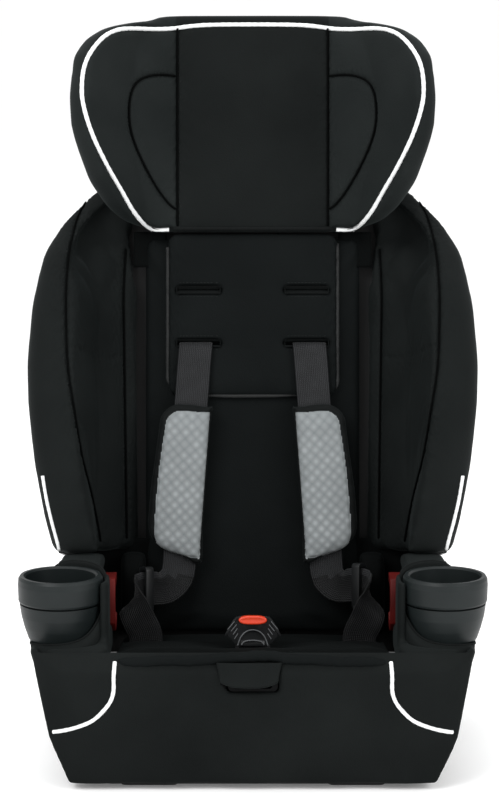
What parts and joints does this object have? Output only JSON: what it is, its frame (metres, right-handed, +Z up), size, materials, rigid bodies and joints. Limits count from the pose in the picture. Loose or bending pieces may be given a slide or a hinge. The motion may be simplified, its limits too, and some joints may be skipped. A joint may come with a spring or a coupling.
{
  "type": "convertible car seat",
  "caption": "Forward-facing high-back child car seat in dark fabric with a sliding winged headrest, a harness with padded shoulder sleeves, and two cup holders.",
  "frame": {"origin": "centre of the footprint's bounding box, on the floor under the rubber feet", "axes": "+Z up, -Y the way the seat faces, +X to the right seen from the front"},
  "size_m": [0.508, 0.4457, 0.8047],
  "materials": {
    "base_shell": "fine-grained moulding",
    "bottom_panel": "fine-grained moulding",
    "rubber_feet": "matte",
    "base_screws": "zinc plated",
    "armrest_left": "fine-grained moulding",
    "armrest_right": "fine-grained moulding",
    "cup_bracket_left": "fine-grained moulding",
    "cup_bracket_right": "fine-grained moulding",
    "back_shell": "fine-grained moulding",
    "wing_shell_left": "fine-grained moulding",
    "wing_shell_right": "fine-grained moulding",
    "shell_screws": "zinc plated",
    "frame_tube": "zinc plated",
    "tether_bar": "zinc plated",
    "seat_cushion": "woven cover over foam",
    "seat_skirt": "woven cover over foam",
    "back_pad": "woven cover over foam",
    "torso_pad": "woven cover over foam",
    "wing_bolster_left": "woven cover over foam",
    "wing_bolster_right": "woven cover over foam",
    "hip_bolster_left": "woven cover over foam",
    "hip_bolster_right": "woven cover over foam",
    "harness_strap_left": "polyester webbing",
    "harness_strap_right": "polyester webbing",
    "tongue_left": "satin black",
    "tongue_right": "satin black",
    "splitter_plate": "zinc plated",
    "adjuster_strap": "polyester webbing",
    "adjuster_housing": "satin black",
    "adjuster_pin": "zinc plated",
    "adjuster_spring": "zinc plated",
    "crotch_anchor": "zinc plated",
    "hip_anchors": "zinc plated",
    "cup_holder_left": "satin moulding",
    "cup_holder_right": "satin moulding",
    "hip_belt_guide_left": "satin moulding",
    "hip_belt_guide_right": "satin moulding",
    "headrest_shell": "fine-grained moulding",
    "headrest_cushion": "woven cover over foam",
    "headrest_carriage": "fine-grained moulding",
    "headrest_screws": "zinc plated",
    "handle_spring": "zinc plated",
    "headrest_handle": "satin moulding",
    "headrest_latch": "zinc plated",
    "buckle_body": "satin black",
    "crotch_strap": "polyester webbing",
    "buckle_spring": "zinc plated",
    "buckle_button": "gloss",
    "adjuster_flap": "woven cover over foam",
    "adjuster_lever": "satin black",
    "shoulder_pad_left": "dotted weave with dark binding",
    "shoulder_pad_right": "dotted weave with dark binding",
    "cup_liner_left": "satin moulding",
    "cup_liner_right": "satin moulding"
  },
  "bodies": {
    "seat": {"base_shell": "base_shell", "bottom_panel": "bottom_panel", "rubber_feet": "rubber_feet", "base_screws": "base_screws", "armrest_left": "armrest_left", "armrest_right": "armrest_right", "cup_bracket_left": "cup_bracket_left", "cup_bracket_right": "cup_bracket_right", "back_shell": "back_shell", "wing_shell_left": "wing_shell_left", "wing_shell_right": "wing_shell_right", "shell_screws": "shell_screws", "frame_tube": "frame_tube", "tether_bar": "tether_bar", "seat_cushion": "seat_cushion", "seat_skirt": "seat_skirt", "back_pad": "back_pad", "torso_pad": "torso_pad", "wing_bolster_left": "wing_bolster_left", "wing_bolster_right": "wing_bolster_right", "hip_bolster_left": "hip_bolster_left", "hip_bolster_right": "hip_bolster_right", "harness_strap_left": "harness_strap_left", "harness_strap_right": "harness_strap_right", "tongue_left": "tongue_left", "tongue_right": "tongue_right", "splitter_plate": "splitter_plate", "adjuster_strap": "adjuster_strap", "adjuster_housing": "adjuster_housing", "adjuster_pin": "adjuster_pin", "adjuster_spring": "adjuster_spring", "crotch_anchor": "crotch_anchor", "hip_anchors": "hip_anchors", "cup_holder_left": "cup_holder_left", "cup_holder_right": "cup_holder_right", "hip_belt_guide_left": "hip_belt_guide_left", "hip_belt_guide_right": "hip_belt_guide_right"},
    "headrest": {"headrest_shell": "headrest_shell", "headrest_cushion": "headrest_cushion", "headrest_carriage": "headrest_carriage", "headrest_screws": "headrest_screws", "handle_spring": "handle_spring"},
    "handle": {"headrest_handle": "headrest_handle"},
    "latch": {"headrest_latch": "headrest_latch"},
    "buckle": {"buckle_body": "buckle_body", "crotch_strap": "crotch_strap", "buckle_spring": "buckle_spring"},
    "button": {"buckle_button": "buckle_button"},
    "flap": {"adjuster_flap": "adjuster_flap"},
    "lever": {"adjuster_lever": "adjuster_lever"},
    "pad_left": {"shoulder_pad_left": "shoulder_pad_left"},
    "pad_right": {"shoulder_pad_right": "shoulder_pad_right"},
    "liner_left": {"cup_liner_left": "cup_liner_left"},
    "liner_right": {"cup_liner_right": "cup_liner_right"}
  },
  "joints": [
    {"name": "headrest_slide", "type": "slide", "parent": "seat", "child": "headrest", "axis": [0, 0.1736, 0.9848], "range_m": [0, 0.12]},
    {"name": "handle_pull", "type": "slide", "parent": "headrest", "child": "handle", "axis": [0, 0.1736, 0.9848], "range_m": [0, 0.006], "stiffness_N_per_m": 1500, "springref_m": -0.002, "deforming": ["handle_spring"]},
    {"name": "latch_draw", "type": "slide", "parent": "headrest", "child": "latch", "axis": [0, 0.9848, -0.1736], "range_m": [-0.006, 0]},
    {"name": "buckle_tilt", "type": "hinge", "parent": "seat", "child": "buckle", "pos_m": [0, -0.10414, 0.10797], "axis": [1, 0, 0], "range_deg": [-15, 15]},
    {"name": "button_press", "type": "slide", "parent": "buckle", "child": "button", "axis": [0, -0.1736, -0.9848], "range_m": [0, 0.004], "stiffness_N_per_m": 1200, "springref_m": -0.003, "deforming": ["buckle_spring"]},
    {"name": "flap_lift", "type": "hinge", "parent": "seat", "child": "flap", "pos_m": [0, -0.2158, 0.1405], "axis": [-1, 0, 0], "range_deg": [0, 105]},
    {"name": "lever_press", "type": "hinge", "parent": "seat", "child": "lever", "pos_m": [0, -0.19, 0.125], "axis": [1, 0, 0], "range_deg": [0, 9], "stiffness_Nm_per_rad": 0.6, "springref_deg": -5.73, "deforming": ["adjuster_spring"]},
    {"name": "pad_left_slide", "type": "slide", "parent": "seat", "child": "pad_left", "axis": [0.075, 0.1732, 0.982], "range_m": [0, 0.03]},
    {"name": "pad_right_slide", "type": "slide", "parent": "seat", "child": "pad_right", "axis": [-0.075, 0.1732, 0.982], "range_m": [0, 0.03]},
    {"name": "liner_left_lift", "type": "slide", "parent": "seat", "child": "liner_left", "axis": [0, 0, 1], "range_m": [0, 0.1]},
    {"name": "liner_right_lift", "type": "slide", "parent": "seat", "child": "liner_right", "axis": [0, 0, 1], "range_m": [0, 0.1]}
  ],
  "couplings": [
    {"joint": "latch_draw", "follows": "handle_pull", "ratio": -1}
  ]
}
